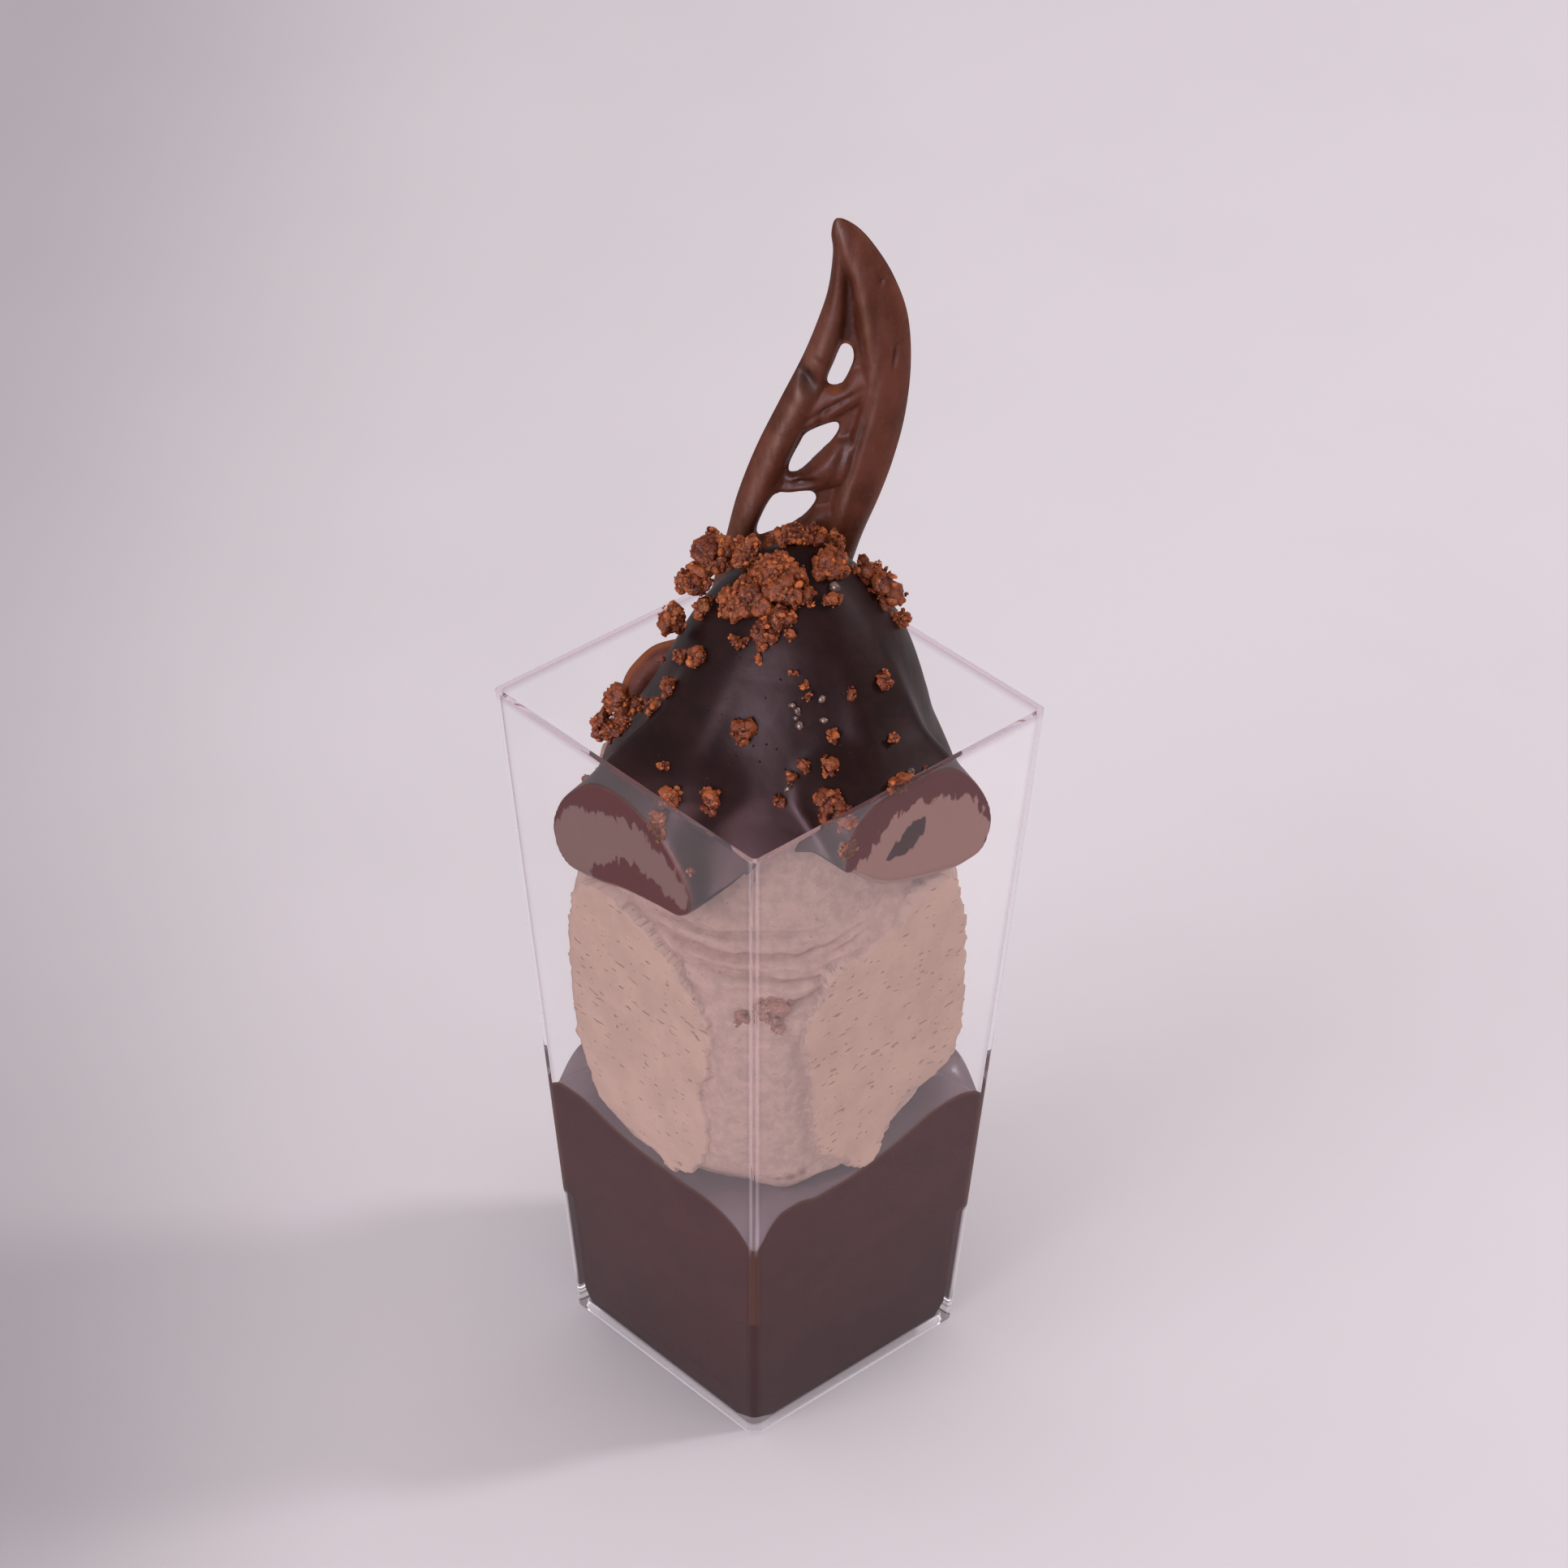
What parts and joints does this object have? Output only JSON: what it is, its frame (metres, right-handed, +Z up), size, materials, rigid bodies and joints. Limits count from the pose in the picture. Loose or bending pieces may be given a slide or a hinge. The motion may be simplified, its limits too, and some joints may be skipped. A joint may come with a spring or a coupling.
{
  "type": "chocolate mousse cup",
  "caption": "Square clear cup with a dark chocolate layer, a column of coffee mousse, a dark chocolate dome and an upright chocolate leaf.",
  "frame": {"origin": "centre of the cup's foot, on the surface it stands on", "axes": "+Z up along the cup's axis; X and Y square to its four walls; the shown side is the corner at +X, -Y"},
  "size_m": [0.045, 0.045, 0.1492],
  "materials": {
    "clear_plastic": "clear, smooth",
    "dark_chocolate_cream": "set cream, satin",
    "coffee_mousse": "matte, fine bubbles",
    "dark_glaze": "satin glaze",
    "milk_chocolate": "moulded, satin"
  },
  "bodies": {
    "root": {"cup": "clear_plastic", "chocolate_layer": "dark_chocolate_cream", "coffee_mousse": "coffee_mousse", "chocolate_dome": "dark_glaze", "chocolate_leaf": "milk_chocolate"}
  },
  "joints": []
}
